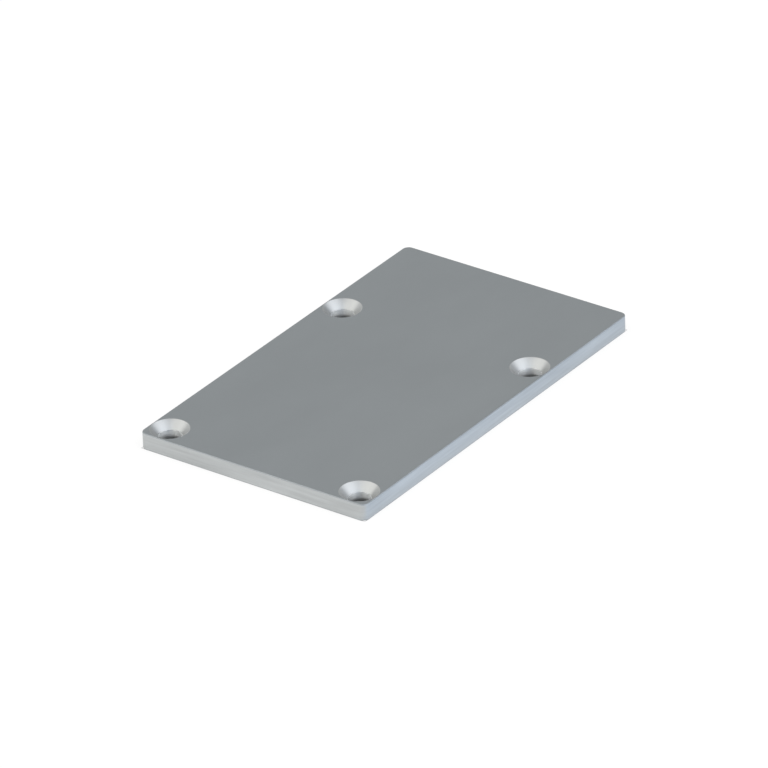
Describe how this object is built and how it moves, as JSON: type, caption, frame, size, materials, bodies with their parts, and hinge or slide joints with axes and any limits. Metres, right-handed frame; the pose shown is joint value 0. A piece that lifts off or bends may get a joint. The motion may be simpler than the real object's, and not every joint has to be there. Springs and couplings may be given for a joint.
{
  "type": "tube end cap",
  "caption": "Flat rectangular end plate with countersunk screw holes near its corners, which closes the end of an extruded tube or channel.",
  "frame": {"origin": "centre of the back face, the flat face that meets the tube and that the plate lies on", "axes": "+Z out of the front face, where the countersinks open; +Y along the long sides, towards the end that is free of holes; +X along the short sides"},
  "size_m": [0.06, 0.1, 0.004],
  "materials": {
    "anodised_plate": "satin, natural anodised; countersinks turned bright"
  },
  "bodies": {
    "root": {"end_plate": "anodised_plate"}
  },
  "joints": []
}
